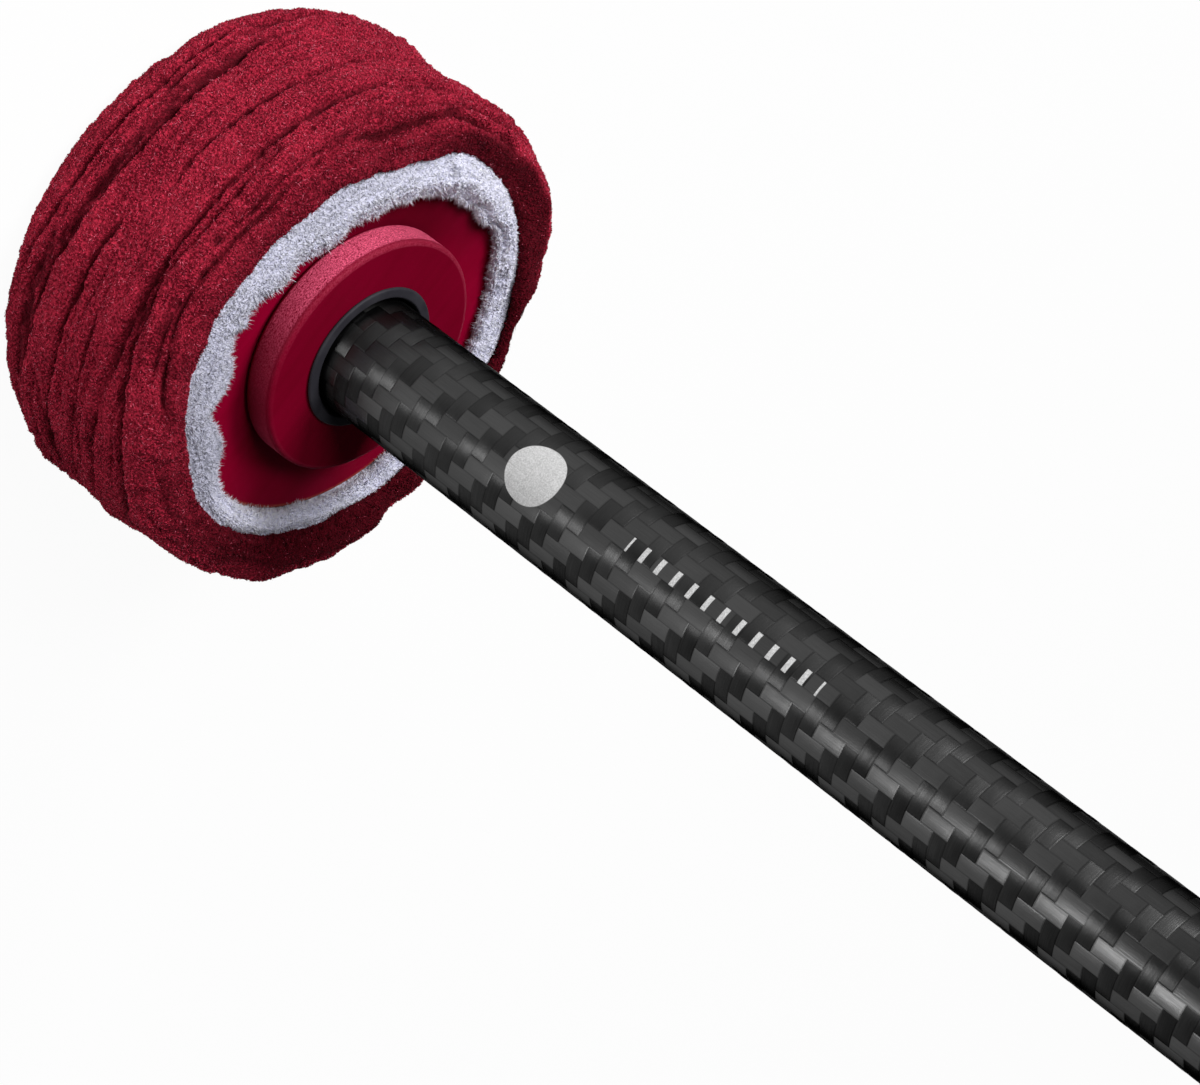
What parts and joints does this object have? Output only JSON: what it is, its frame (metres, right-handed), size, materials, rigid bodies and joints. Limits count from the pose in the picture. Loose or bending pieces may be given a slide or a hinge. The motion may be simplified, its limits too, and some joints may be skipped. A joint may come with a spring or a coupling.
{
  "type": "gong mallet",
  "caption": "Gong mallet with a fleece-wrapped drum head, stained wooden hub discs and a carbon fibre tube shaft.",
  "frame": {"origin": "middle of the flat underside of the nose patch, which the mallet stands on", "axes": "+Z along the shaft towards the butt; -Y is the side where the white fleece is turned in over the rear disc"},
  "size_m": [0.0686, 0.0686, 0.356],
  "materials": {
    "red_fleece": "short crimson fleece, matt",
    "white_fleece": "white fleece, matt",
    "stained_wood": "crimson stain, satin",
    "core_wood": "bare turned wood",
    "black_rubber": "matt black",
    "carbon_fibre": "woven carbon fibre under a satin clear coat",
    "aluminium": "machined",
    "steel": "turned",
    "black_plastic": "satin black"
  },
  "bodies": {
    "root": {"red_cover": "red_fleece", "nose_patch": "red_fleece", "white_liner": "white_fleece", "nose_disc": "core_wood", "core_drum": "core_wood", "weight_ring": "steel", "rear_disc": "stained_wood", "hub_boss": "stained_wood", "rubber_ring": "black_rubber", "shaft_tube": "carbon_fibre", "tube_insert": "aluminium", "head_bolt": "steel", "bolt_washer": "steel", "butt_plug": "black_plastic"}
  },
  "joints": []
}
